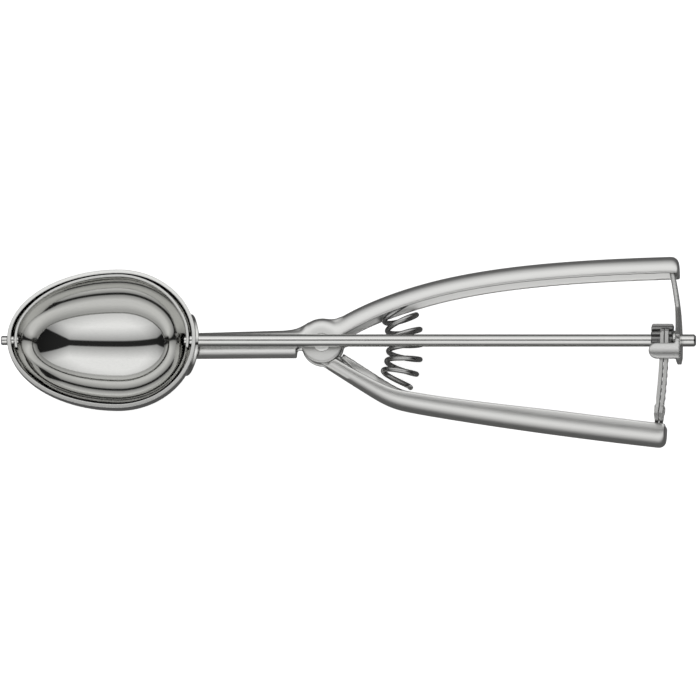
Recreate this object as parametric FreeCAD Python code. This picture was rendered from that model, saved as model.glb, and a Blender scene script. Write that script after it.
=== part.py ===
"""Lever ice cream scoop: an egg-shaped bowl with a sweeping blade, turned by a rack and pinion.

Squeezing the lower handle lifts the rack, which turns the pinion, the rod and the blade in the bowl.
Millimetres. +X runs from the bowl to the handle ends, +Y to the upper handle, +Z out of the bowl's mouth.
The shapes are drawn with the rod's axis on X and then lowered, so that the origin is the
centre of the bowl's mouth, on the plane of its rim.
"""
import FreeCAD, Part
import math
import os

V = FreeCAD.Vector
X_AXIS = V(1, 0, 0)
Y_AXIS = V(0, 1, 0)
Z_AXIS = V(0, 0, 1)
FAR = 400.0  # larger than the whole scoop, for cutters that run right through

# Bowl
BOWL_HALF_LENGTH = 30.6
BOWL_HALF_WIDTH = 22.85
BOWL_WIDEST_X = 5.3
BOWL_SHEET = 0.8
RIM_ABOVE_ROD = 3.0
SADDLE_RADIUS = 10.0
SADDLE_SHEET = 0.9
SADDLE_BELOW_ROD = 7.4

# Rod, its fits and the pieces on it
ROD_RADIUS = 2.0
ROD_TAIL = 5.2
ROD_CHAMFER = 0.5
RUNNING_GAP = 0.06
SEAT_GAP = 0.03
SIDE_GAP = 0.15
TENON_RADIUS = 1.0
TENON_HEAD_RADIUS = 1.35
TENON_HEAD_LENGTH = 0.9
BUSH_RADIUS = 1.9
PIN_RADIUS = 1.0
PIN_HEAD_RADIUS = 1.5
PIN_HEAD_LENGTH = 2.0
THRUST_WASHER_RADIUS = 3.2
THRUST_WASHER_THICKNESS = 0.9

# Sweeping blade
BLADE_SHEET = 0.8
BLADE_WIDTH = 4.8
BLADE_CLEARANCE = 0.35
BLADE_END_CLEARANCE = 1.3
BLADE_TAB_BELOW = 2.7

# Shank, knuckle and pivot
SHEET = 1.0
PIVOT_X = 71.15
FACE_BELOW_ROD = 2.9
KNUCKLE_WIDTH = 7.2
KNUCKLE_RADIUS = 8.5
KNUCKLE_ROUNDING = 2.2
DISC_RADIUS = 6.4
SHANK_END_X = 62.8
BRIDGE_BOTTOM_Y = -1.5
BRIDGE_SHORT = 4.0
SHANK_FRONT_TOP = 3.3
SHANK_FRONT_BOTTOM = -4.7
SHANK_REAR_TOP = 4.7
SHANK_REAR_BOTTOM = -4.4
SHANK_ROUNDING = 3.0
RIVET_RADIUS = 1.9
RIVET_HEAD_RADIUS = 3.1
RIVET_HEAD_HEIGHT = 0.5
EAR_RADIUS = 5.9

# Handles
HANDLE_WIDTH = 10.0
HANDLE_WIDE_X = 100.0
HANDLE_ROUNDING = 2.8
UPPER_START_X = 73.0
UPPER_END_X = 186.4
UPPER_LEVEL = 30.2
UPPER_RISE = 20.2
UPPER_RISE_X = 78.66
UPPER_RISE_LENGTH = 35.6
UPPER_DEPTH = 6.2
UPPER_STATIONS = 9
LOWER_START_X = 72.5
LOWER_END_X = 183.0
LOWER_DEPTH = 7.4
LOWER_NEAR_DEPTH = 3.6
LOWER_NEAR_GRIP_DEPTH = 5.4
NECK_REACH = 8.5
LOWER_NECK_END_X = 100.0
LOWER_BEND_X = 93.0
LOWER_BEND_Y = -20.3
LOWER_NECK_SLOPE = 0.642
LOWER_GRIP_SLOPE = 0.142
LOWER_GRIP_BOW = 1.3
LOWER_BEND_SOFTNESS = 4.0
LOWER_STATIONS = 11
END_ROUNDING = 3.0

# Rack and pinion
MODULE = 0.8
PINION_TEETH = 12
PINION_WIDTH = 7.0
PINION_AHEAD = 1.1
PINION_CHAMFER = 0.4
PRESSURE_ANGLE = 20.0
ADDENDUM = 0.8
DEDENDUM = 1.15
BACKLASH = 0.3
RACK_RADIUS = 112.0
RACK_SHEET = 1.2
RACK_SPLIT = 0.3
RACK_BACK = 8.0
RACK_TIP_Y = 2.4
RACK_FOOT_Y = -22.5
RACK_FOOT_DEPTH = 3.2
RACK_TEETH = 9
FOOT_WIDER = 0.2
FOOT_NEAR_Z = -5.6
FOOT_FAR_Z = -9.6
FOOT_BOTTOM_GAP = 0.1
RACK_RIVET_RADIUS = 0.9
RACK_RIVET_HEAD = 0.35
RACK_RIVET_HEAD_RADIUS = 1.5
RACK_RIVET_IN = 2.5
RACK_RIVET_DOWN = 2.4

# Guide arm at the rear, with the keeper tongue in front of the rack
GUIDE_SHEET = 1.5
GUIDE_X = 187.6
GUIDE_BOW_RADIUS = 150.0
GUIDE_BOW_Y = -8.0
GUIDE_TOP_Y = 26.3
GUIDE_SIDE_GAP = 0.4
GUIDE_EYE_RADIUS = 5.0
GUIDE_NECK_Y = 12.0
GUIDE_TAIL_Y = -8.0
TONGUE_SHEET = 1.2
TONGUE_TOP_Y = -2.5
TONGUE_BOTTOM_Y = -7.7
TONGUE_FRONT_X = 178.2
TONGUE_GAP = 0.4

# Handle spring, bent round the pivot
SPRING_WIRE = 1.7
SPRING_MEAN_RADIUS = 5.25
SPRING_ARC_RADIUS = 26.6
SPRING_TOP_DEG = 21.5
SPRING_BOTTOM_DEG = -23.5
SPRING_HALF_TURNS = 11
SPRING_ROD_GAP = 0.5

# Sizes that follow
pitch_radius = MODULE * PINION_TEETH / 2
face_z = -FACE_BELOW_ROD
knuckle_far_z = face_z - KNUCKLE_WIDTH
handle_far_z = face_z - HANDLE_WIDTH
knuckle_mid_z = face_z - KNUCKLE_WIDTH / 2


def save(name, shape):
    """Lower the shape to the rim's plane, write it as one node and print its volume."""
    placed = shape.copy()
    placed.translate(V(0, 0, -RIM_ABOVE_ROD))
    placed.exportStep("parts/" + name + ".step")
    print(name, "solids", len(placed.Solids), "volume", round(placed.Volume, 2), "valid", placed.isValid())


def prism(outline, direction):
    """Extrude a closed outline of edges or points."""
    if isinstance(outline[0], FreeCAD.Vector):
        wire = Part.makePolygon(outline + [outline[0]])
    else:
        wire = Part.Wire(outline)
    return Part.Face(wire).extrude(direction)


def rod_along_x(radius, start, end, y=0.0, z=0.0):
    """A round bar along X."""
    return Part.makeCylinder(radius, end - start, V(start, y, z), X_AXIS)


def disc_at_pivot(radius, near, far):
    """A round plate about the pivot's axis, from its near face to its far face."""
    return Part.makeCylinder(radius, near - far, V(PIVOT_X, 0, far), Z_AXIS)


# Bowl, saddle and blade: all follow one egg-shaped profile turned about the rod's axis
def egg_edges(side_inset, end_inset):
    """The profile in the XY plane from the front tip over the widest point to the rear tip."""
    half_width = BOWL_HALF_WIDTH - side_inset
    front = BOWL_WIDEST_X + BOWL_HALF_LENGTH - end_inset
    rear = BOWL_HALF_LENGTH - BOWL_WIDEST_X - end_inset
    edges = []
    for length, toward in ((front, -1), (rear, 1)):
        centre = V(BOWL_WIDEST_X, 0, 0)
        long_end = centre + X_AXIS * toward * length
        top = centre + Y_AXIS * half_width
        if length > half_width:
            ellipse = Part.Ellipse(long_end, top, centre)
        else:
            ellipse = Part.Ellipse(top, long_end, centre)
        angles = sorted((ellipse.parameter(long_end), ellipse.parameter(top)))
        if angles[1] - angles[0] > math.pi:
            angles = [angles[1], angles[0] + 2 * math.pi]
        edges.append(ellipse.toShape(*angles))
    tips = [V(BOWL_WIDEST_X - front, 0, 0), V(BOWL_WIDEST_X + rear, 0, 0)]
    return edges, tips


def egg_body(side_inset, end_inset):
    """The whole egg as a solid of revolution about the rod's axis."""
    edges, tips = egg_edges(side_inset, end_inset)
    face = Part.Face(Part.Wire(Part.__sortEdges__(edges + [Part.makeLine(tips[1], tips[0])])))
    return face.revolve(V(0, 0, 0), X_AXIS, 360)


def egg_cup(side_inset, end_inset, height):
    """The half egg below the rod's axis, with upright walls above it."""
    edges, tips = egg_edges(side_inset, end_inset)
    half = Part.Face(Part.Wire(Part.__sortEdges__(edges + [Part.makeLine(tips[1], tips[0])])))
    lower = half.revolve(V(0, 0, 0), X_AXIS, -180)
    mirror = half.mirror(V(0, 0, 0), Y_AXIS)
    walls = half.extrude(Z_AXIS * height).fuse(mirror.extrude(Z_AXIS * height))
    return lower.fuse(walls).removeSplitter()


def make_bowl():
    """Deep-drawn cup with a hole in each end for the rod and the front pin."""
    cup = egg_cup(0, 0, RIM_ABOVE_ROD).cut(egg_cup(BOWL_SHEET, BOWL_SHEET, RIM_ABOVE_ROD + 1))
    rear_hole = rod_along_x(ROD_RADIUS + RUNNING_GAP, 0, FAR)
    front_hole = rod_along_x(PIN_RADIUS + RUNNING_GAP, -FAR, 0)
    return cup.cut(rear_hole).cut(front_hole)


def make_saddle():
    """Round plate pressed to the bowl's rear, with the rod's hole."""
    outside = egg_cup(-SADDLE_SHEET, -SADDLE_SHEET, RIM_ABOVE_ROD)
    inside = egg_cup(-SEAT_GAP, -SEAT_GAP, RIM_ABOVE_ROD)
    patch = rod_along_x(SADDLE_RADIUS, BOWL_WIDEST_X, FAR, 0, -SADDLE_BELOW_ROD)
    return outside.cut(inside).common(patch).cut(rod_along_x(ROD_RADIUS + RUNNING_GAP, 0, FAR))


blade_side = BOWL_SHEET + BLADE_CLEARANCE
blade_end = BOWL_SHEET + BLADE_END_CLEARANCE
blade_front_x = -BOWL_HALF_LENGTH + blade_end
blade_rear_x = BOWL_HALF_LENGTH - blade_end


def end_bow(radius, side_inset, end_inset, toward):
    """How far the egg's end has fallen back at a radius from its tip."""
    half_width = BOWL_HALF_WIDTH - side_inset
    length = BOWL_HALF_LENGTH - toward * BOWL_WIDEST_X - end_inset
    return length * (1 - math.sqrt(1 - (radius / half_width) ** 2))


def make_blade():
    """Strip that lies along the bowl's wall, its two ends turned across the axis as tabs."""
    outer = egg_body(blade_side, blade_end)
    inner = egg_body(blade_side + BLADE_SHEET, blade_end + BLADE_SHEET)
    band = Part.makeBox(FAR, FAR, BLADE_WIDTH, V(-FAR / 2, -BLADE_TAB_BELOW, -BLADE_WIDTH / 2))
    strip = outer.cut(inner).common(band)
    strip = strip.cut(rod_along_x(TENON_RADIUS + SEAT_GAP, 0, FAR))
    return strip.cut(rod_along_x(PIN_RADIUS + SEAT_GAP, -FAR, 0))


def make_front_pin():
    """Rivet through the bowl's front wall and the blade's front tab."""
    outside = -BOWL_HALF_LENGTH - SIDE_GAP
    bow = end_bow(PIN_HEAD_RADIUS, blade_side + BLADE_SHEET, blade_end + BLADE_SHEET, -1)
    inside = blade_front_x + BLADE_SHEET + SEAT_GAP + bow
    head = rod_along_x(PIN_HEAD_RADIUS, outside - PIN_HEAD_LENGTH, outside)
    head = head.makeFillet(ROD_CHAMFER, [head.Edges[2]])
    tail = rod_along_x(PIN_HEAD_RADIUS, inside, inside + TENON_HEAD_LENGTH / 2)
    return head.fuse(rod_along_x(PIN_RADIUS, outside, inside)).fuse(tail).removeSplitter()


def make_front_washer():
    """Spacer between the bowl's front wall and the blade's front tab."""
    start = -BOWL_HALF_LENGTH + BOWL_SHEET + SIDE_GAP + end_bow(BUSH_RADIUS, BOWL_SHEET, BOWL_SHEET, -1)
    ring = rod_along_x(BUSH_RADIUS, start, blade_front_x - SEAT_GAP)
    return ring.cut(rod_along_x(PIN_RADIUS + SEAT_GAP, -FAR, FAR))


# Rod and what turns with it
guide_fall = GUIDE_BOW_RADIUS - math.sqrt(GUIDE_BOW_RADIUS**2 - (THRUST_WASHER_RADIUS - GUIDE_BOW_Y) ** 2)
guide_near_x = GUIDE_X - GUIDE_SHEET / 2 - guide_fall
pinion_mid_x = PIVOT_X + RACK_RADIUS - PINION_AHEAD
pinion_start_x = pinion_mid_x - PINION_WIDTH / 2
pinion_end_x = pinion_mid_x + PINION_WIDTH / 2
rod_front_x = blade_rear_x + SEAT_GAP
rod_end_x = GUIDE_X + ROD_TAIL


def make_rod():
    """Round bar with a tenon that carries the blade's rear tab, and a chamfered tail."""
    bar = rod_along_x(ROD_RADIUS, rod_front_x, rod_end_x)
    tail_edge = [e for e in bar.Edges if e.Length > ROD_RADIUS and e.BoundBox.XMin > rod_end_x - 1 and e.Closed]
    bar = bar.makeChamfer(ROD_CHAMFER, tail_edge)
    tenon = rod_along_x(TENON_RADIUS, blade_rear_x - BLADE_SHEET - TENON_HEAD_LENGTH / 2, rod_front_x)
    return bar.fuse(tenon).removeSplitter()


def make_tenon_head():
    """Burred washer that closes the tenon inside the bowl."""
    bow = end_bow(TENON_HEAD_RADIUS, blade_side + BLADE_SHEET, blade_end + BLADE_SHEET, 1)
    end = blade_rear_x - BLADE_SHEET - SEAT_GAP - bow
    ring = rod_along_x(TENON_HEAD_RADIUS, end - TENON_HEAD_LENGTH, end)
    return ring.cut(rod_along_x(TENON_RADIUS + SEAT_GAP, end - TENON_HEAD_LENGTH / 2, FAR))


def make_pinion():
    """Gear with arcs for the tooth flanks, chamfered at both ends."""
    tip_radius = pitch_radius + ADDENDUM * MODULE
    root_radius = pitch_radius - DEDENDUM * MODULE
    base_radius = pitch_radius * math.cos(math.radians(PRESSURE_ANGLE))
    half_tooth = (math.pi * MODULE / 2 - BACKLASH / 2) / 2 / pitch_radius

    def involute_angle(radius):
        """How far the flank has turned at a radius, from where it leaves the base circle."""
        rolled = math.sqrt(max(radius**2 / base_radius**2 - 1, 0))
        return rolled - math.atan(rolled)

    def flank_point(radius, side, centre):
        """A point on one flank of the tooth at an angle about the rod."""
        turn = half_tooth + involute_angle(pitch_radius) - involute_angle(max(radius, base_radius))
        angle = centre + side * turn
        return V(pinion_start_x, radius * math.sin(angle), radius * math.cos(angle))

    edges = []
    step = 2 * math.pi / PINION_TEETH
    middle = (base_radius + tip_radius) / 2
    for tooth in range(PINION_TEETH):
        # a space between teeth faces the rack's tooth at rest
        centre = (tooth + 0.5) * step
        left = [flank_point(r, -1, centre) for r in (root_radius, base_radius, middle, tip_radius)]
        right = [flank_point(r, 1, centre) for r in (root_radius, base_radius, middle, tip_radius)]
        following = flank_point(root_radius, -1, centre + step)
        crown = V(pinion_start_x, tip_radius * math.sin(centre), tip_radius * math.cos(centre))
        between = centre + step / 2
        valley = V(pinion_start_x, root_radius * math.sin(between), root_radius * math.cos(between))
        edges.append(Part.makeLine(left[0], left[1]))
        edges.append(Part.Arc(left[1], left[2], left[3]).toShape())
        edges.append(Part.Arc(left[3], crown, right[3]).toShape())
        edges.append(Part.Arc(right[3], right[2], right[1]).toShape())
        edges.append(Part.makeLine(right[1], right[0]))
        edges.append(Part.Arc(right[0], valley, following).toShape())
    gear = prism(edges, X_AXIS * PINION_WIDTH)
    blank = rod_along_x(tip_radius + SEAT_GAP, pinion_start_x, pinion_end_x)
    rims = [e for e in blank.Edges if isinstance(e.Curve, Part.Circle)]
    gear = gear.common(blank.makeChamfer(PINION_CHAMFER, rims))
    return gear.cut(rod_along_x(ROD_RADIUS + SEAT_GAP, 0, FAR))


def make_thrust_washer():
    """Ring on the rod between the pinion and the guide arm."""
    start = pinion_end_x + SEAT_GAP
    end = guide_near_x - SIDE_GAP
    ring = rod_along_x(THRUST_WASHER_RADIUS, start, min(end, start + THRUST_WASHER_THICKNESS))
    return ring.cut(rod_along_x(ROD_RADIUS + SEAT_GAP, 0, FAR))


# Handles: rounded channels of bent sheet
def channel_section(x, closed_y, open_y, near_z, far_z, rounding):
    """Closed outline across X with its two corners at closed_y rounded."""
    toward = 1 if closed_y > open_y else -1
    r = rounding
    back_off = r * (1 - math.sqrt(0.5))
    corners = [
        Part.makeLine(V(x, open_y, far_z), V(x, open_y, near_z)),
        Part.makeLine(V(x, open_y, near_z), V(x, closed_y - toward * r, near_z)),
        Part.Arc(
            V(x, closed_y - toward * r, near_z),
            V(x, closed_y - toward * back_off, near_z - back_off),
            V(x, closed_y, near_z - r),
        ).toShape(),
        Part.makeLine(V(x, closed_y, near_z - r), V(x, closed_y, far_z + r)),
        Part.Arc(
            V(x, closed_y, far_z + r),
            V(x, closed_y - toward * back_off, far_z + back_off),
            V(x, closed_y - toward * r, far_z),
        ).toShape(),
        Part.makeLine(V(x, closed_y - toward * r, far_z), V(x, open_y, far_z)),
    ]
    return Part.Wire(corners)


def far_side(x):
    """The handle's far face: narrow at the knuckle, widening smoothly to the grip."""
    share = min(max((x - PIVOT_X) / (HANDLE_WIDE_X - PIVOT_X), 0), 1)
    eased = share * share * (3 - 2 * share)
    return knuckle_far_z + (handle_far_z - knuckle_far_z) * eased


def upper_web(x):
    """Height of the upper handle's back, which levels out towards the end."""
    return UPPER_LEVEL - UPPER_RISE * math.exp(-(x - UPPER_RISE_X) / UPPER_RISE_LENGTH)


def lower_web(x):
    """Height of the lower handle's back: a steep neck, a bend and a gently bowed grip."""
    mean = (LOWER_NECK_SLOPE + LOWER_GRIP_SLOPE) / 2
    change = (LOWER_NECK_SLOPE - LOWER_GRIP_SLOPE) / 2
    along = x - LOWER_BEND_X
    bend = math.sqrt(along**2 + LOWER_BEND_SOFTNESS**2) - LOWER_BEND_SOFTNESS
    share = min(max(along / (LOWER_END_X - LOWER_BEND_X), 0), 1)
    bow = LOWER_GRIP_BOW * 4 * share * (1 - share)
    return LOWER_BEND_Y - mean * along + change * bend - bow


def slope_stretch(web, x):
    """How much longer an upright cut through the sloping channel is than a square one."""
    rise = web(x + 0.5) - web(x - 0.5)
    return math.sqrt(1 + rise**2)


def channel(web, toward, start, end, depth, stations, inset):
    """Loft of the channel's outside, or of its inside where inset is the sheet's thickness."""
    wires = []
    for i in range(stations):
        share = i / (stations - 1)
        x = start + (end - start) * (0.6 * share + 0.4 * share**2)
        stretch = slope_stretch(web, x)
        closed_y = web(x) - toward * inset * stretch
        past_open = 3 * inset
        open_y = web(x) - toward * (depth * stretch + past_open)
        rounding = HANDLE_ROUNDING - inset
        wires.append(channel_section(x, closed_y, open_y, face_z - inset, far_side(x) + inset, rounding))
    return Part.makeLoft(wires, True, False)


def round_end(shape, x, web, toward):
    """Round the outside corner where the back meets the end wall."""
    top = web(x)
    r = END_ROUNDING
    corner = V(x, top, 0)
    centre = corner + V(-r, -toward * r, 0)
    block = Part.makeBox(2 * r, 2 * r, FAR, V(centre.x, min(centre.y, centre.y + toward * 2 * r), -FAR / 2))
    block = block.cut(Part.makeCylinder(r, FAR, V(centre.x, centre.y, -FAR / 2), Z_AXIS))
    return shape.cut(block)


def shank_solid(inset):
    """The rolled shank: a tube with four rounded sides, tapering to the bowl."""
    wires = []
    front_x = BOWL_WIDEST_X + BOWL_HALF_WIDTH * 0.6
    for x, top, bottom in (
        (front_x, SHANK_FRONT_TOP, SHANK_FRONT_BOTTOM),
        (PIVOT_X - BRIDGE_SHORT, SHANK_REAR_TOP, SHANK_REAR_BOTTOM),
    ):
        half = (top - bottom) / 2 - inset
        depth = KNUCKLE_WIDTH / 2 - inset
        r = SHANK_ROUNDING - inset
        mid_y = (top + bottom) / 2
        box = Part.makeBox(1, 2 * half, 2 * depth, V(x, mid_y - half, knuckle_mid_z - depth))
        long_edges = [e for e in box.Edges if abs(e.tangentAt(0).x) > 0.9]
        rounded = box.makeFillet(r, long_edges)
        face = min(rounded.Faces, key=lambda f: f.CenterOfMass.x)
        wires.append(face.OuterWire)
    return Part.makeLoft(wires, True, True)


def knuckle_hump(radius, near, far, rounding):
    """Upper half of the round hump over the pivot, its rims rounded."""
    puck = disc_at_pivot(radius, near, far)
    rims = [e for e in puck.Edges if isinstance(e.Curve, Part.Circle)]
    puck = puck.makeFillet(rounding, rims)
    upper_half = Part.makeBox(FAR, FAR, FAR, V(-FAR / 2, 0, -FAR / 2))
    return puck.common(upper_half)


def make_upper_handle():
    """Shank, knuckle and upper handle, pressed from one sheet."""
    outer = channel(upper_web, 1, UPPER_START_X, UPPER_END_X, UPPER_DEPTH, UPPER_STATIONS, 0)
    outer = round_end(outer, UPPER_END_X, upper_web, 1)
    inner = channel(upper_web, 1, UPPER_START_X - 1, UPPER_END_X - SHEET, UPPER_DEPTH, UPPER_STATIONS, SHEET)
    hump = knuckle_hump(KNUCKLE_RADIUS, face_z, knuckle_far_z, KNUCKLE_ROUNDING)
    hollow = knuckle_hump(
        KNUCKLE_RADIUS - SHEET, face_z - SHEET, knuckle_far_z + SHEET, KNUCKLE_ROUNDING - SHEET
    )
    shank = shank_solid(0)
    bore = shank_solid(SHEET)
    saddle_back = egg_cup(-SADDLE_SHEET - SEAT_GAP, -SADDLE_SHEET - SEAT_GAP, RIM_ABOVE_ROD)
    below_bridge = Part.makeBox(FAR, FAR, FAR, V(SHANK_END_X, BRIDGE_BOTTOM_Y - FAR, -FAR / 2))
    shank = shank.cut(below_bridge)
    body = outer.fuse(hump).fuse(shank).cut(inner).cut(hollow).cut(bore).cut(saddle_back)
    near_disc = disc_at_pivot(DISC_RADIUS, face_z, face_z - SHEET)
    far_disc = disc_at_pivot(DISC_RADIUS, knuckle_far_z + SHEET, knuckle_far_z)
    body = body.fuse(near_disc).fuse(far_disc)
    return body.cut(disc_at_pivot(RIVET_RADIUS + SEAT_GAP, FAR, -FAR)).removeSplitter()


def flange_edge(web, x, toward, depth):
    """Height of a flange's free edge."""
    return web(x) - toward * depth * slope_stretch(web, x)


def lever_ear(near, depth, flange_z):
    """Plate that turns on the rivet, with its step out to the channel's flange."""
    neck_x = PIVOT_X + NECK_REACH
    meets = V(PIVOT_X + EAR_RADIUS * 0.85, -EAR_RADIUS * 0.5 + (depth - LOWER_NEAR_DEPTH) * 0.8, 0)
    outline = [
        V(PIVOT_X - EAR_RADIUS * 0.53, -EAR_RADIUS * 0.85, 0),
        V(neck_x, lower_web(neck_x) + SEAT_GAP, 0),
        V(neck_x, flange_edge(lower_web, neck_x, -1, depth), 0),
        meets,
    ]
    plate = prism([V(p.x, p.y, near - SHEET) for p in outline], Z_AXIS * SHEET)
    low, high = sorted((near - SHEET, flange_z))
    if flange_z < near:
        low, high = sorted((near, flange_z))
    step = prism([V(p.x, p.y, low) for p in outline], Z_AXIS * (high - low))
    step = step.cut(disc_at_pivot(DISC_RADIUS + 3 * SIDE_GAP, FAR, -FAR))
    return disc_at_pivot(EAR_RADIUS, near, near - SHEET).fuse(plate).fuse(step)


def make_lower_handle():
    """Lower lever: two ears on the pivot, a steep neck and a grip with its near flange trimmed."""
    outer = channel(lower_web, -1, LOWER_START_X, LOWER_END_X, LOWER_DEPTH, LOWER_STATIONS, 0)
    outer = round_end(outer, LOWER_END_X, lower_web, -1)
    inner = channel(lower_web, -1, LOWER_START_X, LOWER_END_X - SHEET, LOWER_DEPTH, LOWER_STATIONS, SHEET)
    body = outer.cut(inner)
    trim_z = face_z - 1.5 * SHEET
    trim = []
    for i in range(LOWER_STATIONS):
        x = LOWER_START_X + (LOWER_END_X + 1 - LOWER_START_X) * i / (LOWER_STATIONS - 1)
        share = min((x - LOWER_START_X) / (LOWER_NECK_END_X - LOWER_START_X), 1)
        depth = LOWER_NEAR_DEPTH + (LOWER_NEAR_GRIP_DEPTH - LOWER_NEAR_DEPTH) * share
        trim.append(V(x, flange_edge(lower_web, x, -1, depth), trim_z))
    edge = Part.BSplineCurve()
    edge.interpolate(trim)
    above = [V(trim[-1].x, FAR, trim_z), V(trim[0].x, FAR, trim_z)]
    sides = [Part.makeLine(trim[-1], above[0]), Part.makeLine(above[0], above[1]), Part.makeLine(above[1], trim[0])]
    body = body.cut(prism([edge.toShape()] + sides, Z_AXIS * FAR))
    body = body.cut(disc_at_pivot(DISC_RADIUS + 3 * SIDE_GAP, FAR, -FAR))
    near_ear = lever_ear(face_z - SHEET - SIDE_GAP, LOWER_NEAR_DEPTH, face_z)
    far_ear = lever_ear(knuckle_far_z + 2 * SHEET + SIDE_GAP, LOWER_DEPTH, far_side(PIVOT_X + NECK_REACH))
    body = body.fuse(near_ear).fuse(far_ear)
    return body.cut(disc_at_pivot(RIVET_RADIUS + RUNNING_GAP, FAR, -FAR)).removeSplitter()


def make_pivot_rivet():
    """Domed rivet through the knuckle's two discs."""
    dome_radius = (RIVET_HEAD_HEIGHT**2 + RIVET_HEAD_RADIUS**2) / (2 * RIVET_HEAD_HEIGHT)
    body = disc_at_pivot(RIVET_RADIUS, face_z + SEAT_GAP, knuckle_far_z - SEAT_GAP)
    for seat, toward in ((face_z + SEAT_GAP, 1), (knuckle_far_z - SEAT_GAP, -1)):
        centre_z = seat + toward * (RIVET_HEAD_HEIGHT - dome_radius)
        ball = Part.makeSphere(dome_radius, V(PIVOT_X, 0, centre_z))
        slab = disc_at_pivot(dome_radius, seat + max(toward, 0), seat + min(toward, 0))
        body = body.fuse(ball.common(slab))
    return body.removeSplitter()


# Rack: two plates side by side on an arc about the pivot, carried by the lower handle
rack_tip_z = pitch_radius - ADDENDUM * MODULE
rack_root_z = pitch_radius + DEDENDUM * MODULE
tooth_step_deg = math.degrees(math.pi * MODULE / RACK_RADIUS)


def arc_sheet(inner, outer, centre, near, far):
    """Sheet bent round an upright axis at centre."""
    outside = Part.makeCylinder(outer, near - far, V(centre.x, centre.y, far), Z_AXIS)
    return outside.cut(Part.makeCylinder(inner, near - far, V(centre.x, centre.y, far), Z_AXIS))


def rack_gap():
    """Cutter for the space between two teeth, on the X axis."""
    half = (math.pi * MODULE / 2 + BACKLASH / 2) / 2
    spread = math.tan(math.radians(PRESSURE_ANGLE))
    start = PIVOT_X + RACK_RADIUS - 2 * RACK_SHEET
    past = rack_tip_z - 1
    wide = half + (pitch_radius - past) * spread
    narrow = half - (rack_root_z - pitch_radius) * spread
    outline = [
        V(start, -wide, past),
        V(start, wide, past),
        V(start, narrow, rack_root_z),
        V(start, -narrow, rack_root_z),
    ]
    return prism(outline, X_AXIS * 4 * RACK_SHEET)


def rack_rivet_at(y, z, radius, start, end):
    """Round bar square to the rack's plates at a height."""
    bar = rod_along_x(radius, PIVOT_X + start, PIVOT_X + end, 0, z)
    bar.rotate(V(PIVOT_X, 0, 0), Z_AXIS, math.degrees(math.asin(y / RACK_RADIUS)))
    return bar


rack_rivet_places = (
    (RACK_FOOT_Y - RACK_FOOT_DEPTH / 2, (rack_root_z + RACK_BACK) / 2 - RACK_RIVET_IN),
    (RACK_FOOT_Y - RACK_FOOT_DEPTH - RACK_RIVET_DOWN, (FOOT_NEAR_Z + FOOT_FAR_Z) / 2),
)


def make_rack_plate(toward):
    """One toothed leg with its foot that reaches over the flange into the lower handle."""
    half_foot = RACK_SPLIT / 2 + RACK_SHEET + FOOT_WIDER
    sole_x = PIVOT_X + math.sqrt(RACK_RADIUS**2 - lower_web(LOWER_END_X) ** 2) - half_foot
    sole_y = lower_web(sole_x) + SHEET * slope_stretch(lower_web, sole_x) + FOOT_BOTTOM_GAP
    ledge_y = RACK_FOOT_Y - RACK_FOOT_DEPTH
    tip_r = (RACK_BACK - rack_tip_z) / 4
    leg = prism(
        [
            V(0, RACK_TIP_Y, rack_tip_z + tip_r),
            V(0, RACK_TIP_Y, RACK_BACK - tip_r),
            V(0, RACK_TIP_Y - tip_r, RACK_BACK),
            V(0, RACK_FOOT_Y, RACK_BACK),
            V(0, RACK_FOOT_Y, rack_tip_z),
            V(0, RACK_TIP_Y - tip_r, rack_tip_z),
        ],
        X_AXIS * FAR,
    )
    foot = prism(
        [
            V(0, RACK_FOOT_Y, RACK_BACK),
            V(0, ledge_y, RACK_BACK),
            V(0, ledge_y, FOOT_NEAR_Z),
            V(0, sole_y, FOOT_NEAR_Z),
            V(0, sole_y, FOOT_FAR_Z),
            V(0, RACK_FOOT_Y, FOOT_FAR_Z),
        ],
        X_AXIS * FAR,
    )
    shapes = []
    for outline, wider in ((leg, 0), (foot, FOOT_WIDER)):
        near_middle = RACK_RADIUS + toward * RACK_SPLIT / 2
        away = RACK_RADIUS + toward * (RACK_SPLIT / 2 + RACK_SHEET + wider)
        radii = sorted((near_middle, away))
        sheet = arc_sheet(radii[0], radii[1], V(PIVOT_X, 0, 0), RACK_BACK, FOOT_FAR_Z)
        shapes.append(outline.common(sheet))
    plate = shapes[0].fuse(shapes[1])
    for i in range(RACK_TEETH + 1):
        gap = rack_gap()
        gap.rotate(V(PIVOT_X, 0, 0), Z_AXIS, (0.5 - i) * tooth_step_deg)
        plate = plate.cut(gap)
    for y, z in rack_rivet_places:
        reach = 2 * RACK_SHEET
        hole = rack_rivet_at(y, z, RACK_RIVET_RADIUS + SEAT_GAP, RACK_RADIUS - reach, RACK_RADIUS + reach)
        plate = plate.cut(hole)
    return plate.removeSplitter()


def make_rack_rivet(y, z):
    """Rivet through both plates, with a flat head at each side."""
    half = RACK_SPLIT / 2 + RACK_SHEET + FOOT_WIDER + SEAT_GAP
    body = rack_rivet_at(y, z, RACK_RIVET_RADIUS, RACK_RADIUS - half, RACK_RADIUS + half)
    for start, end in ((-half - RACK_RIVET_HEAD, -half), (half, half + RACK_RIVET_HEAD)):
        head = rack_rivet_at(y, z, RACK_RIVET_HEAD_RADIUS, RACK_RADIUS + start, RACK_RADIUS + end)
        body = body.fuse(head)
    return body.removeSplitter()


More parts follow.
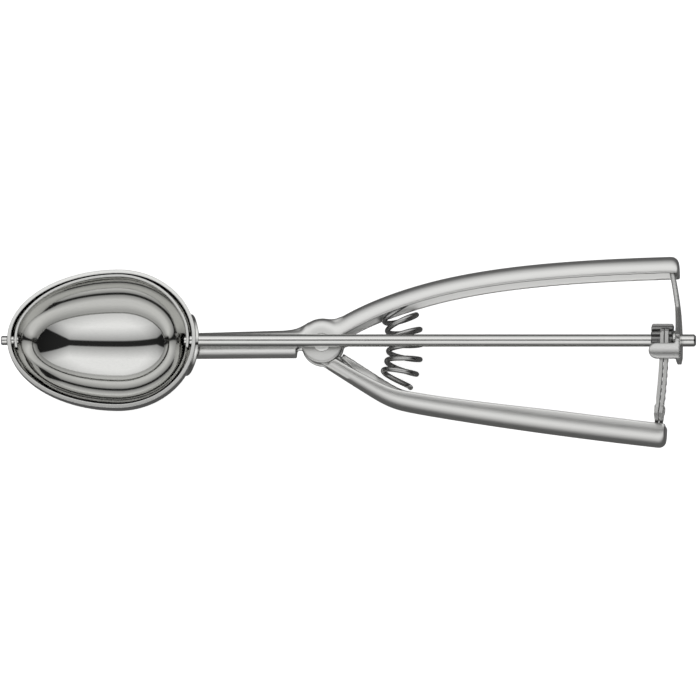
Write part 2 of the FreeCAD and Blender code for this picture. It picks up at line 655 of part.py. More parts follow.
def make_guide_arm():
    """Bowed arm with the rod's rear eye and the keeper tongue folded over the rack."""
    tongue_z = RACK_BACK + TONGUE_GAP + TONGUE_SHEET
    near = face_z - SHEET - GUIDE_SIDE_GAP
    far = handle_far_z + SHEET + GUIDE_SIDE_GAP
    outline = [
        V(0, GUIDE_TOP_Y, near),
        V(0, GUIDE_NECK_Y, near),
        V(0, TONGUE_TOP_Y + TONGUE_SHEET, tongue_z),
        V(0, TONGUE_BOTTOM_Y, tongue_z),
        V(0, GUIDE_TAIL_Y, GUIDE_EYE_RADIUS),
        V(0, GUIDE_TAIL_Y, 0),
        V(0, -GUIDE_EYE_RADIUS, -GUIDE_EYE_RADIUS),
        V(0, GUIDE_NECK_Y, far),
        V(0, GUIDE_TOP_Y, far),
    ]
    centre = V(GUIDE_X - GUIDE_BOW_RADIUS, GUIDE_BOW_Y, 0)
    half = GUIDE_SHEET / 2
    sheet = arc_sheet(GUIDE_BOW_RADIUS - half, GUIDE_BOW_RADIUS + half, centre, tongue_z, far)
    arm = prism(outline, X_AXIS * FAR).common(sheet)
    round_r = (TONGUE_TOP_Y - TONGUE_BOTTOM_Y) / 2
    mid_y = (TONGUE_TOP_Y + TONGUE_BOTTOM_Y) / 2
    low_z = tongue_z - TONGUE_SHEET
    nose = Part.makeCylinder(round_r, TONGUE_SHEET, V(TONGUE_FRONT_X + round_r, mid_y, low_z), Z_AXIS)
    length = GUIDE_X - TONGUE_FRONT_X - round_r
    blade = Part.makeBox(length, 2 * round_r, TONGUE_SHEET, V(TONGUE_FRONT_X + round_r, TONGUE_BOTTOM_Y, low_z))
    arm = arm.fuse(nose).fuse(blade)
    return arm.cut(rod_along_x(ROD_RADIUS + RUNNING_GAP, 0, FAR)).removeSplitter()


# Handle spring: one wire wound along an arc about the pivot
spring_mid_z = -(ROD_RADIUS + SPRING_ROD_GAP + SPRING_MEAN_RADIUS + SPRING_WIRE / 2)


def spring_point(half_turns):
    """A point of the wire's centre line, counted in half turns from the upper end."""
    share = half_turns / SPRING_HALF_TURNS
    around = math.radians(SPRING_TOP_DEG + (SPRING_BOTTOM_DEG - SPRING_TOP_DEG) * share)
    wound = math.pi * half_turns
    out = SPRING_ARC_RADIUS + SPRING_MEAN_RADIUS * math.cos(wound)
    return V(
        PIVOT_X + out * math.cos(around),
        out * math.sin(around),
        spring_mid_z + SPRING_MEAN_RADIUS * math.sin(wound),
    )


def spring_tangent(half_turns):
    """Direction of the wire at a point."""
    step = 1e-4
    along = spring_point(half_turns + step) - spring_point(half_turns - step)
    return along.normalize()


def tangent_arc(start, corner, end):
    """Arc that leaves start and reaches end tangent to the lines through corner."""
    chord_middle = (start + end) * 0.5
    half_chord = (end - start).Length / 2
    rise = corner - chord_middle
    bulge = half_chord * math.tan(math.atan2(rise.Length, half_chord) / 2)
    return Part.Arc(start, chord_middle + rise.normalize() * bulge, end).toShape()


def biarc(first, last):
    """Two tangent arcs between two points of the wire."""
    start, end = spring_point(first), spring_point(last)
    leave, arrive = spring_tangent(first), spring_tangent(last)
    chord = end - start
    both = leave + arrive
    spread = 2 * (1 - leave.dot(arrive))
    across = chord.dot(both)
    reach = (math.sqrt(across**2 + spread * chord.dot(chord)) - across) / spread
    corner_a = start + leave * reach
    corner_b = end - arrive * reach
    middle = (corner_a + corner_b) * 0.5
    return [tangent_arc(start, corner_a, middle), tangent_arc(middle, corner_b, end)]


def least_gap():
    """Smallest distance between neighbouring turns of the wire, surface to surface."""
    steps = 24
    points = [spring_point(i / steps) for i in range(SPRING_HALF_TURNS * steps + 1)]
    gaps = []
    for i, point in enumerate(points):
        gaps += [(point - other).Length for other in points[i + steps:]]
    return min(gaps) - SPRING_WIRE


def make_spring():
    """One unbroken tube along the wire's centre line."""
    edges = []
    for i in range(SPRING_HALF_TURNS):
        edges += biarc(i, i + 1)
    path = Part.Wire(edges)
    profile = Part.Wire(Part.makeCircle(SPRING_WIRE / 2, spring_point(0), spring_tangent(0)))
    print("spring least gap", round(least_gap(), 2))
    return path.makePipeShell([profile], True, False)


if __name__ == "__main__":
    os.makedirs("parts", exist_ok=True)
    save("bowl", make_bowl())
    save("saddle_plate", make_saddle())
    save("scraper_blade", make_blade())
    save("front_pin", make_front_pin())
    save("front_washer", make_front_washer())
    save("rod", make_rod())
    save("tenon_head", make_tenon_head())
    save("pinion", make_pinion())
    save("thrust_washer", make_thrust_washer())
    save("upper_handle", make_upper_handle())
    save("lower_handle", make_lower_handle())
    save("pivot_rivet", make_pivot_rivet())
    save("rack_plate_front", make_rack_plate(-1))
    save("rack_plate_rear", make_rack_plate(1))
    for name, place in zip(("rack_rivet_upper", "rack_rivet_lower"), rack_rivet_places):
        save(name, make_rack_rivet(*place))
    save("guide_arm", make_guide_arm())
    save("handle_spring", make_spring())
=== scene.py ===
"""Lever ice cream scoop in stainless steel, dressed over its packed construction.

Lengths are in millimetres, and heights count from the rod's axis, unless a docstring
says metres. +X runs along the rod to the grips, and +Y points to the upper handle.
"""

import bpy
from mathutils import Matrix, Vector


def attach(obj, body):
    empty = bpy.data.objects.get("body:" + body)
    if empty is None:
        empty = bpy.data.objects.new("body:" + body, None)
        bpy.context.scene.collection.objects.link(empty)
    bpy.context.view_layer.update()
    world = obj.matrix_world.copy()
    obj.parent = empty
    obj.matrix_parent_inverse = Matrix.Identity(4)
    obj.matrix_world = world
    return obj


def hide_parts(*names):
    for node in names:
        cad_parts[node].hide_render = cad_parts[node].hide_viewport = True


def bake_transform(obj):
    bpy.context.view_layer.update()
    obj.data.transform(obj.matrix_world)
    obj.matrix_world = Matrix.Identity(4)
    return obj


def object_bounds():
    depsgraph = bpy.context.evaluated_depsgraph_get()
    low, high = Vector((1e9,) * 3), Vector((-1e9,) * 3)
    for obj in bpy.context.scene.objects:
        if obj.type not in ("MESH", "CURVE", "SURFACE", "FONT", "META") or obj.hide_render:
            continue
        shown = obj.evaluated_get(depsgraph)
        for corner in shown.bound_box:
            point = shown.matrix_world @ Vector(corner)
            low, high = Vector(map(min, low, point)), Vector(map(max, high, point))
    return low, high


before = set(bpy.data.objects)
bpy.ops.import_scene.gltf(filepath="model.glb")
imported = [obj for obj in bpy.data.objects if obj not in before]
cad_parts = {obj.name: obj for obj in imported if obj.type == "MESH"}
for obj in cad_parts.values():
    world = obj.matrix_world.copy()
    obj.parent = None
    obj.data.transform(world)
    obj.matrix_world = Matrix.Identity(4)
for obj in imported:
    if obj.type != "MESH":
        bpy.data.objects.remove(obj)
CAD_BOX = [list(map(float, corner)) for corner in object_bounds()]

import logging
import math
from contextlib import contextmanager
from dataclasses import dataclass, field
from enum import Enum
from functools import partial
from typing import Callable, Iterator

import bmesh
import bpy
from mathutils import Matrix, Vector

logging.basicConfig(level=logging.INFO, format="%(message)s")
LOG = logging.getLogger("scoop")

MM = 0.001
PHOTO_WIDTH_PX = 700
MM_PER_PX = 0.3237
ROD_LEVEL = -3.0  # height of the rod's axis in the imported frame
PIVOT_X = 71.15
HANDLE_FACE = -2.9  # near face of both handles
SHEET = 1.0  # sheet of both handles
SLOPE_STEP = 0.1  # half the length over which a back's slope is measured
BLANK_MERGE = 1e-7  # metres, for a formed blank
MERGE = 1e-6  # metres, for everything else
SHARP_DEG = 30.0
SPIN_STEP_DEG = 5.0
LEAST_SPIN_STEPS = 12
BUMP_HEIGHT = 0.0001  # metres

Spot = tuple[float, float]
Triple = tuple[float, float, float]


class Body(Enum):
    """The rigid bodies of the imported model."""

    FRAME = "frame"
    LEVER = "lever"
    SWEEP = "sweep"


def feed(tree: bpy.types.NodeTree, value: object, socket: bpy.types.NodeSocket) -> None:
    """Link a socket into another one, or set a plain number on it.

    Args:
        tree: The tree they are in.
        value: A number or an output socket.
        socket: The input socket.
    """
    if isinstance(value, bpy.types.NodeSocket):
        tree.links.new(value, socket)
    else:
        socket.default_value = float(value)


def math_node(
    tree: bpy.types.NodeTree, operation: str, *values: object
) -> bpy.types.NodeSocket:
    """Add a Math node.

    Args:
        tree: The tree it goes into.
        operation: Blender's name of the operation.
        values: Its inputs in order, each a number or a socket.

    Returns:
        The node's output socket.
    """
    node = tree.nodes.new("ShaderNodeMath")
    node.operation = operation
    for socket, value in zip(node.inputs, values):
        feed(tree, value, socket)
    return node.outputs[0]


def noise_node(
    tree: bpy.types.NodeTree, vector: bpy.types.NodeSocket, scale: object, detail: float
) -> bpy.types.NodeSocket:
    """Add a Noise texture read at a vector.

    Args:
        tree: The tree it goes into.
        vector: Where the noise is read.
        scale: The noise's scale, a number or a socket.
        detail: Its octaves.

    Returns:
        The noise's value socket.
    """
    node = tree.nodes.new("ShaderNodeTexNoise")
    feed(tree, scale, node.inputs["Scale"])
    node.inputs["Detail"].default_value = detail
    tree.links.new(vector, node.inputs["Vector"])
    return node.outputs["Fac"]


@dataclass(frozen=True)
class PolishMarks:
    """Marks of polishing: fine lines drawn along X, soft blotches and worn edges."""

    line_detail: float = 4.0
    line_weight: float = 0.6
    blotch_scale: float = 90.0
    blotch_detail: float = 3.0
    blotch_weight: float = 0.4
    edge_samples: int = 4
    edge_polish: float = -0.25
    least_roughness: float = 0.02
    tone: float = 0.92
    tone_spread: float = 0.16
    edge_tone: float = 0.25

    def build(self) -> bpy.types.NodeTree:
        """Make the node group that every finish shares.

        Returns:
            A group that puts out a roughness, a tone, a height and a normal.
        """
        tree = bpy.data.node_groups.new("polish_marks", "ShaderNodeTree")
        for name in ("Line Scale", "Along", "Base Roughness", "Roughness Spread", "Edge Radius"):
            tree.interface.new_socket(name, in_out="INPUT", socket_type="NodeSocketFloat")
        for name in ("Roughness", "Tone", "Height"):
            tree.interface.new_socket(name, in_out="OUTPUT", socket_type="NodeSocketFloat")
        tree.interface.new_socket("Normal", in_out="OUTPUT", socket_type="NodeSocketVector")
        start, end = tree.nodes.new("NodeGroupInput"), tree.nodes.new("NodeGroupOutput")
        calc, link = partial(math_node, tree), tree.links.new

        coords = tree.nodes.new("ShaderNodeTexCoord").outputs["Object"]
        split = tree.nodes.new("ShaderNodeSeparateXYZ")
        link(coords, split.inputs[0])
        join = tree.nodes.new("ShaderNodeCombineXYZ")
        link(calc("MULTIPLY", split.outputs["X"], start.outputs["Along"]), join.inputs["X"])
        link(split.outputs["Y"], join.inputs["Y"])
        link(split.outputs["Z"], join.inputs["Z"])
        lines = noise_node(tree, join.outputs[0], start.outputs["Line Scale"], self.line_detail)
        blotches = noise_node(tree, coords, self.blotch_scale, self.blotch_detail)

        rounded = tree.nodes.new("ShaderNodeBevel")
        rounded.samples = self.edge_samples
        link(start.outputs["Edge Radius"], rounded.inputs["Radius"])
        surface = tree.nodes.new("ShaderNodeNewGeometry")
        alike = tree.nodes.new("ShaderNodeVectorMath")
        alike.operation = "DOT_PRODUCT"
        link(rounded.outputs["Normal"], alike.inputs[0])
        link(surface.outputs["Normal"], alike.inputs[1])
        edge = calc("SUBTRACT", 1.0, alike.outputs["Value"])

        line_part = calc("MULTIPLY", lines, self.line_weight)
        uneven = calc("ADD", line_part, calc("MULTIPLY", blotches, self.blotch_weight))
        spread = calc("SUBTRACT", uneven, 0.5)
        spread = calc("MULTIPLY", spread, start.outputs["Roughness Spread"])
        rough = calc("ADD", start.outputs["Base Roughness"], spread)
        rough = calc("ADD", rough, calc("MULTIPLY", edge, self.edge_polish))
        rough = calc("MAXIMUM", rough, self.least_roughness)
        tone = calc("ADD", calc("MULTIPLY", uneven, self.tone_spread), self.tone)
        tone = calc("ADD", tone, calc("MULTIPLY", edge, self.edge_tone))

        link(rough, end.inputs["Roughness"])
        link(tone, end.inputs["Tone"])
        link(lines, end.inputs["Height"])
        link(rounded.outputs["Normal"], end.inputs["Normal"])
        return tree


@dataclass(frozen=True)
class Steel:
    """One steel finish, and the record's slot that it belongs to."""

    name: str
    slot: str
    colour: tuple[float, float, float]
    roughness: float
    spread: float
    line_scale: float
    along: float
    bump: float
    edge_mm: float = 0.35
    metallic: float = 1.0

    def material(self, group: bpy.types.NodeTree) -> bpy.types.Material:
        """Build the material.

        Args:
            group: The polish marks that every finish shares.

        Returns:
            The new material.
        """
        made = bpy.data.materials.new(self.name)
        made.use_nodes = True
        tree = made.node_tree
        shader = tree.nodes["Principled BSDF"]
        shader.inputs["Metallic"].default_value = self.metallic
        marks = tree.nodes.new("ShaderNodeGroup")
        marks.node_tree = group
        settings = {
            "Line Scale": self.line_scale, "Along": self.along,
            "Base Roughness": self.roughness, "Roughness Spread": self.spread,
            "Edge Radius": self.edge_mm * MM,
        }
        for socket, value in settings.items():
            marks.inputs[socket].default_value = value
        link = tree.links.new
        tint = tree.nodes.new("ShaderNodeMix")
        tint.data_type = "RGBA"
        tint.blend_type = "MULTIPLY"
        tint.inputs["Factor"].default_value = 1.0
        tint.inputs["A"].default_value = (*self.colour, 1.0)
        link(marks.outputs["Tone"], tint.inputs["B"])
        link(tint.outputs["Result"], shader.inputs["Base Color"])
        link(marks.outputs["Roughness"], shader.inputs["Roughness"])
        bump = tree.nodes.new("ShaderNodeBump")
        bump.inputs["Strength"].default_value = self.bump
        bump.inputs["Distance"].default_value = BUMP_HEIGHT
        link(marks.outputs["Height"], bump.inputs["Height"])
        link(marks.outputs["Normal"], bump.inputs["Normal"])
        link(bump.outputs["Normal"], shader.inputs["Normal"])
        return made


# Name, slot, colour, roughness and its spread, scale of the lines and along X, bump.
MIRROR = Steel(
    "mirror_steel", "mirror_steel", (0.68, 0.68, 0.665), 0.045, 0.02, 2500.0, 0.3, 0.001
)
SATIN = Steel("satin_steel", "satin_steel", (0.72, 0.72, 0.705), 0.31, 0.10, 2200.0, 0.03, 0.05)
GROUND = Steel("ground_bar", "rod_steel", (0.72, 0.72, 0.705), 0.12, 0.05, 3500.0, 0.02, 0.02)
# The pinion's dark colour is painted shade: the same steel darkened for the shade it sits in
# behind the rack and the guide arm.
SHADED_PINION = Steel(
    "pinion_painted_shade", "pinion_steel", (0.28, 0.28, 0.275), 0.26, 0.10, 3000.0, 0.2, 0.05
)
BLANKED = Steel(
    "blanked_steel", "rack_steel", (0.56, 0.56, 0.55), 0.26, 0.12, 2600.0, 0.5, 0.05,
    metallic=0.55,
)
PRESSED = Steel(
    "pressed_steel", "satin_steel", (0.60, 0.60, 0.59), 0.24, 0.10, 2600.0, 0.3, 0.05,
    edge_mm=0.9, metallic=0.88,
)
# The rivet's light colour is a painted highlight: the same steel made lighter so that its dome
# looks lit.
LIT_RIVET = Steel("bright_rivet", "satin_steel", (0.92, 0.92, 0.90), 0.34, 0.06, 2600.0, 0.5, 0.02)
WIRE = Steel("spring_wire", "spring_steel", (0.48, 0.48, 0.475), 0.16, 0.10, 3000.0, 1.0, 0.04)


@dataclass
class FinishBook:
    """The materials made so far, one for each finish."""

    group: bpy.types.NodeTree
    made: dict[str, bpy.types.Material] = field(default_factory=dict)

    def coat(self, obj: bpy.types.Object, steel: Steel) -> None:
        """Give an object its finish.

        Args:
            obj: The object.
            steel: Its finish.
        """
        if steel.name not in self.made:
            self.made[steel.name] = steel.material(self.group)
        obj.data.materials.clear()
        obj.data.materials.append(self.made[steel.name])
        LOG.info("dressed %s in %s", obj.name, steel.name)


def deselect_all() -> None:
    """Leave nothing selected and no mesh in edit mode."""
    if bpy.context.object and bpy.context.object.mode != "OBJECT":
        bpy.ops.object.mode_set(mode="OBJECT")
    bpy.ops.object.select_all(action="DESELECT")


def make_active(obj: bpy.types.Object) -> None:
    """Select one object alone and make it the active one."""
    deselect_all()
    obj.select_set(True)
    bpy.context.view_layer.objects.active = obj


@contextmanager
def editing(obj: bpy.types.Object) -> Iterator[None]:
    """Open a mesh in edit mode with all of it selected, and close it afterwards."""
    make_active(obj)
    bpy.ops.object.mode_set(mode="EDIT")
    bpy.ops.mesh.select_all(action="SELECT")
    yield
    bpy.ops.object.mode_set(mode="OBJECT")


def join_meshes(pieces: list[bpy.types.Object]) -> bpy.types.Object:
    """Join meshes into the first of them.

    Args:
        pieces: The meshes.

    Returns:
        The joined object.
    """
    make_active(pieces[0])
    for piece in pieces:
        piece.select_set(True)
    bpy.ops.object.join()
    return bpy.context.object


def place_mm(x: float, y: float, z: float) -> Vector:
    """A point given in millimetres from the rod's axis, as the scene's metres."""
    return Vector((x, y, z + ROD_LEVEL)) * MM


def eased(share: float) -> float:
    """A share from 0 to 1 that starts and ends smoothly."""
    held = min(max(share, 0.0), 1.0)
    return held * held * (3 - 2 * held)


def apply_modifiers(obj: bpy.types.Object) -> None:
    """Apply every modifier of a mesh in its order."""
    make_active(obj)
    for modifier in list(obj.modifiers):
        bpy.ops.object.modifier_apply(modifier=modifier.name)


def drill(
    obj: bpy.types.Object,
    radius: float,
    length: float,
    centre: Vector,
    sides: int,
    along_rod: bool = False,
) -> None:
    """Cut a round hole.

    Args:
        obj: The mesh that is cut.
        radius: The hole's radius.
        length: The cutter's length.
        centre: The cutter's middle, in metres.
        sides: The cutter's sides.
        along_rod: Whether it lies along the rod; else it is upright.
    """
    deselect_all()
    turn = (0, math.pi / 2, 0) if along_rod else (0, 0, 0)
    bpy.ops.mesh.primitive_cylinder_add(
        vertices=sides, radius=radius * MM, depth=length * MM, location=centre, rotation=turn
    )
    cutter = bpy.context.object
    hole = obj.modifiers.new("hole", "BOOLEAN")
    hole.operation = "DIFFERENCE"
    hole.object = cutter
    apply_modifiers(obj)
    bpy.data.objects.remove(cutter)


def formed_blank(
    name: str, rows: int, columns: int, place: Callable[[float, float], Vector]
) -> bpy.types.Object:
    """Form a flat blank of sheet: each point of its grid goes to its place on the piece.

    Args:
        name: The piece's name.
        rows: Divisions along the piece.
        columns: Divisions across it.
        place: Gives the point, in metres, for a share along and a share across.

    Returns:
        The formed sheet, with no thickness yet.
    """
    deselect_all()
    bpy.ops.mesh.primitive_grid_add(x_subdivisions=rows, y_subdivisions=columns, size=1)
    blank = bpy.context.object
    blank.name = name
    with editing(blank):
        mesh = bmesh.from_edit_mesh(blank.data)
        for vert in mesh.verts:
            vert.co = place(vert.co.x + 0.5, vert.co.y + 0.5)
        bmesh.update_edit_mesh(blank.data)
        bpy.ops.mesh.remove_doubles(threshold=BLANK_MERGE)
    return blank


def thicken(obj: bpy.types.Object, thickness: float, flipped: bool = False) -> None:
    """Give a formed sheet its thickness on the inside.

    Args:
        obj: The sheet.
        thickness: Its thickness.
        flipped: Whether its faces have to be turned round first.
    """
    if flipped:
        with editing(obj):
            bpy.ops.mesh.flip_normals()
    wall = obj.modifiers.new("wall", "SOLIDIFY")
    wall.thickness = thickness * MM
    wall.offset = -1.0
    apply_modifiers(obj)


def carried_copy(node: str, name: str, end_x: float | None = None) -> bpy.types.Object:
    """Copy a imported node's mesh, whole or up to a cut across X.

    Args:
        node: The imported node.
        name: The copy's name.
        end_x: Where the copy ends.

    Returns:
        The copy, merged and closed at the cut.
    """
    copy = bpy.data.objects.new(name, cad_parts[node].data.copy())
    bpy.context.collection.objects.link(copy)
    with editing(copy):
        bpy.ops.mesh.remove_doubles(threshold=MERGE)
        if end_x is not None:
            bpy.ops.mesh.select_all(action="SELECT")
            bpy.ops.mesh.bisect(
                plane_co=(end_x * MM, 0, 0), plane_no=(1, 0, 0), clear_outer=True, use_fill=True
            )
    copy.data.materials.clear()
    return copy


def smooth_by_angle(obj: bpy.types.Object) -> None:
    """Shade a mesh smooth, with its corners kept sharp."""
    make_active(obj)
    bpy.ops.object.shade_smooth_by_angle(angle=math.radians(SHARP_DEG))


def reshape(obj: bpy.types.Object, move: Callable[[Triple], Triple]) -> None:
    """Move each point of a mesh a little, by where it is.

    Args:
        obj: The mesh.
        move: Gives a point's step for its place.
    """
    with editing(obj):
        mesh = bmesh.from_edit_mesh(obj.data)
        for vert in mesh.verts:
            here = vert.co / MM
            vert.co += Vector(move((here.x, here.y, here.z - ROD_LEVEL))) * MM
        bmesh.update_edit_mesh(obj.data)


def turned_sheet(
    name: str, profile: list[Spot], start_deg: float, turn_deg: float
) -> bpy.types.Object:
    """Spin a profile about the pivot.

    Args:
        name: The piece's name.
        profile: Radius and height of each point.
        start_deg: Where the spin starts, from +X towards +Y.
        turn_deg: How far it goes.

    Returns:
        The spun sheet, with no thickness yet.
    """
    deselect_all()
    bpy.ops.mesh.primitive_plane_add(size=1)
    sheet = bpy.context.object
    sheet.name = name
    angle = math.radians(start_deg)
    with editing(sheet):
        mesh = bmesh.from_edit_mesh(sheet.data)
        bmesh.ops.delete(mesh, geom=list(mesh.verts), context="VERTS")
        verts = [
            mesh.verts.new(place_mm(PIVOT_X + r * math.cos(angle), r * math.sin(angle), z))
            for r, z in profile
        ]
        for first, second in zip(verts, verts[1:]):
            mesh.edges.new((first, second))
        bmesh.update_edit_mesh(sheet.data)
        bpy.ops.mesh.select_all(action="SELECT")
        bpy.ops.mesh.spin(
            steps=max(LEAST_SPIN_STEPS, round(abs(turn_deg) / SPIN_STEP_DEG)),
            angle=-math.radians(turn_deg),
            center=place_mm(PIVOT_X, 0, 0),
            axis=(0, 0, 1),
        )
        bpy.ops.mesh.select_all(action="SELECT")
        bpy.ops.mesh.remove_doubles(threshold=MERGE)
        bpy.ops.mesh.select_all(action="SELECT")
        bpy.ops.mesh.normals_make_consistent(inside=False)
    return sheet


def flat_ring(
    name: str, bore: float, radius: float, top: float, start_deg: float, turn_deg: float
) -> bpy.types.Object:
    """Turn a flat ring of the handles' sheet round the pivot, or a part of one.

    Args:
        name: The ring's name.
        bore: Its inner radius.
        radius: Its outer radius.
        top: Height of its top face.
        start_deg: Where it starts, from +X towards +Y.
        turn_deg: How far it goes round.

    Returns:
        The ring.
    """
    bottom = top - SHEET
    profile = [(bore, top), (radius, top), (radius, bottom), (bore, bottom), (bore, top)]
    return turned_sheet(name, profile, start_deg, turn_deg)


def plate(name: str, outline: list[Spot], low: float, high: float) -> bpy.types.Object:
    """Cut a flat plate to an outline seen from above.

    Args:
        name: The piece's name.
        outline: Its corners, in order.
        low: Height of its underside.
        high: Height of its top.

    Returns:
        The closed plate.
    """
    deselect_all()
    bpy.ops.mesh.primitive_circle_add(vertices=len(outline), radius=1, fill_type="NGON")
    made = bpy.context.object
    made.name = name
    with editing(made):
        mesh = bmesh.from_edit_mesh(made.data)
        for vert, (x, y) in zip(mesh.verts, outline):
            vert.co = place_mm(x, y, low)
        bmesh.update_edit_mesh(made.data)
        up = (0, 0, (high - low) * MM)
        bpy.ops.mesh.extrude_region_move(TRANSFORM_OT_translate={"value": up})
        bpy.ops.mesh.select_all(action="SELECT")
        bpy.ops.mesh.normals_make_consistent(inside=False)
    return made


@dataclass(frozen=True)
class Softening:
    """Places, seen from above, where a pressing is drawn softer than elsewhere."""

    places: tuple[Spot, ...]
    reach: float = 4.5
    plateau: float = 1.6
    passes: int = 45

    def apply(self, obj: bpy.types.Object) -> None:
        """Smooth a mesh round the places."""
        near = obj.vertex_groups.new(name="corners")
        for vert in obj.data.vertices:
            x, y = vert.co.x / MM, vert.co.y / MM
            away = min(math.hypot(x - at_x, y - at_y) for at_x, at_y in self.places)
            if away < self.reach:
                weight = eased(self.plateau * (1 - away / self.reach))
                near.add([vert.index], weight, "REPLACE")
        drawn = obj.modifiers.new("drawn", "SMOOTH")
        drawn.factor = 0.5
        drawn.iterations = self.passes
        drawn.vertex_group = near.name
        apply_modifiers(obj)
        obj.vertex_groups.clear()


def weld(
    name: str,
    pieces: list[bpy.types.Object],
    voxel: float,
    passes: int,
    softening: Softening | None = None,
) -> bpy.types.Object:
    """Join pieces of sheet into one pressing with soft edges and filled corners.

    Args:
        name: The pressing's name.
        pieces: Closed meshes that overlap.
        voxel: Grid of the new skin.
        passes: How many times it is smoothed.
        softening: Where it is smoothed more.

    Returns:
        The joined piece.
    """
    joined = join_meshes(pieces)
    joined.name = name
    skin = joined.modifiers.new("skin", "REMESH")
    skin.mode = "VOXEL"
    skin.voxel_size = voxel * MM
    skin.use_smooth_shade = True
    soften = joined.modifiers.new("soften", "SMOOTH")
    soften.factor = 0.5
    soften.iterations = passes
    apply_modifiers(joined)
    if softening:
        softening.apply(joined)
    joined.data.materials.clear()
    return joined


@dataclass
class SubAssembly:
    """What the sub-assemblies share: their new pieces and how these are dressed."""

    finish: Steel = SATIN
    pieces: list[bpy.types.Object] = field(default_factory=list, init=False)

    def keep(self, piece: bpy.types.Object) -> None:
        """Note a finished piece and report it."""
        self.pieces.append(piece)
        LOG.info("%s: %d faces", piece.name, len(piece.data.polygons))

    def dress(self, finishes: FinishBook) -> None:
        """Give each piece its finish."""
        for piece in self.pieces:
            finishes.coat(piece, self.finish)


@dataclass(frozen=True)
class UpperBack:
    """Line of the upper handle's back, which levels out towards the end."""

    level: float = 30.2
    rise: float = 20.2
    rise_x: float = 78.66
    rise_length: float = 35.6

    def height(self, x: float) -> float:
        """Distance from the rod's line at a place along it."""
        return self.level - self.rise * math.exp(-(x - self.rise_x) / self.rise_length)


@dataclass(frozen=True)
class LowerBack:
    """Line of the lower handle's back: a steep neck, a bend and a gently bowed grip."""

    bend_x: float = 93.0
    bend_y: float = -20.3
    mean_slope: float = -0.392
    slope_change: float = 0.25
    softness: float = 4.0
    grip_length: float = 90.0
    bow: float = 0.7

    def height(self, x: float) -> float:
        """Distance from the rod's line at a place along it."""
        along = x - self.bend_x
        share = min(max(along / self.grip_length, 0), 1)
        bend = self.slope_change * (math.sqrt(along**2 + self.softness**2) - self.softness)
        bowed = self.bow * 4 * share * (1 - share)
        return self.bend_y + self.mean_slope * along + bend - bowed


@dataclass
class Channel:
    """A handle's channel of bent sheet: a soft back between a near and a far flange."""

    name: str
    toward: int
    start_x: float
    end_x: float
    back: UpperBack | LowerBack
    near_depth: Callable[[float], float]
    far_depth: float
    flipped: bool = False
    corner: float = 6.4
    corner_of_depth: float = 0.93
    squareness: float = 2.2
    flat_share: float = 0.1
    knuckle_width: float = 7.2
    grip_widening: float = 2.8
    widening_run: float = 28.85
    flare: float = 0.7
    flare_from: float = 0.5
    end_rounding: float = 2.6
    end_narrowing: float = 0.06
    cap_share: float = 0.12
    cap_turn: float = 0.6
    upright_end: float = 8.0
    upright_run: float = 10.0
    rows: int = 110
    columns: int = 32

    def far_z(self, x: float) -> float:
        """Height of the far face, narrow at the knuckle and wide at the grip."""
        widened = self.grip_widening * eased((x - PIVOT_X) / self.widening_run)
        return HANDLE_FACE - self.knuckle_width - widened

    def section(self, x: float, across: float) -> Spot:
        """Depth from the back and height, for a share across the section.

        Args:
            x: Where the section is cut.
            across: 0 at the near flange's free edge and 1 at the far one's.

        Returns:
            The depth and the height.
        """
        far_z = self.far_z(x)
        middle, half = (HANDLE_FACE + far_z) / 2, (HANDLE_FACE - far_z) / 2
        near = across < 0.5
        side = 1 if near else -1
        share = across * 2 if near else (1 - across) * 2
        depth = self.near_depth(x) if near else self.far_depth
        corner = min(self.corner, self.corner_of_depth * depth)
        if share < self.flat_share:
            out = corner + (depth - corner) * (1 - share / self.flat_share)
            level = middle + side * half
        else:
            turn = math.pi / 2 * (1 - (share - self.flat_share) / (1 - self.flat_share))
            power = 2 / self.squareness
            out = corner * (1 - math.cos(turn) ** power)
            level = middle + side * half * math.sin(turn) ** power
        if not near:
            opened = max(out / depth - self.flare_from, 0) / (1 - self.flare_from)
            level -= self.flare * opened**2
        return out, level

    def point(self, along: float, across: float) -> Vector:
        """Place of one point of the sheet, the end wall among them.

        Args:
            along: Share along the channel.
            across: Share across it.

        Returns:
            The point in metres.
        """
        open_share = 1 - self.cap_share
        run = min(along / open_share, 1.0)
        x = self.start_x + (self.end_x - self.end_rounding - self.start_x) * run
        depth, z = self.section(x, across)
        cap = max(along - open_share, 0) / self.cap_share
        if cap > 0:
            turn = math.pi / 2 * min(cap / self.cap_turn, 1)
            rounded = 1 - math.cos(turn)
            deep = self.near_depth(x) + (self.far_depth - self.near_depth(x)) * across
            middle = (HANDLE_FACE + self.far_z(x)) / 2
            depth = depth + self.end_rounding * rounded * max(1 - depth / deep, 0)
            z = middle + (z - middle) * (1 - self.end_narrowing * rounded)
            x = x + self.end_rounding * math.sin(turn)
            wall = max(cap - self.cap_turn, 0) / (1 - self.cap_turn)
            depth = depth + (deep - depth) * wall
        rise = self.back.height(x + SLOPE_STEP) - self.back.height(x - SLOPE_STEP)
        square_on = Vector((rise / (2 * SLOPE_STEP), -1, 0)).normalized() * self.toward
        upright = Vector((0, -self.toward, 0))
        turned = eased((self.end_x - self.upright_end - x) / self.upright_run)
        inward = (upright + (square_on - upright) * turned).normalized()
        spot = Vector((x, self.back.height(x), 0)) + inward * depth
        return place_mm(spot.x, spot.y, z)

    def build(self) -> bpy.types.Object:
        """Form the channel and give it its sheet thickness."""
        shell = formed_blank(self.name, self.rows, self.columns, self.point)
        thicken(shell, SHEET, self.flipped)
        return shell


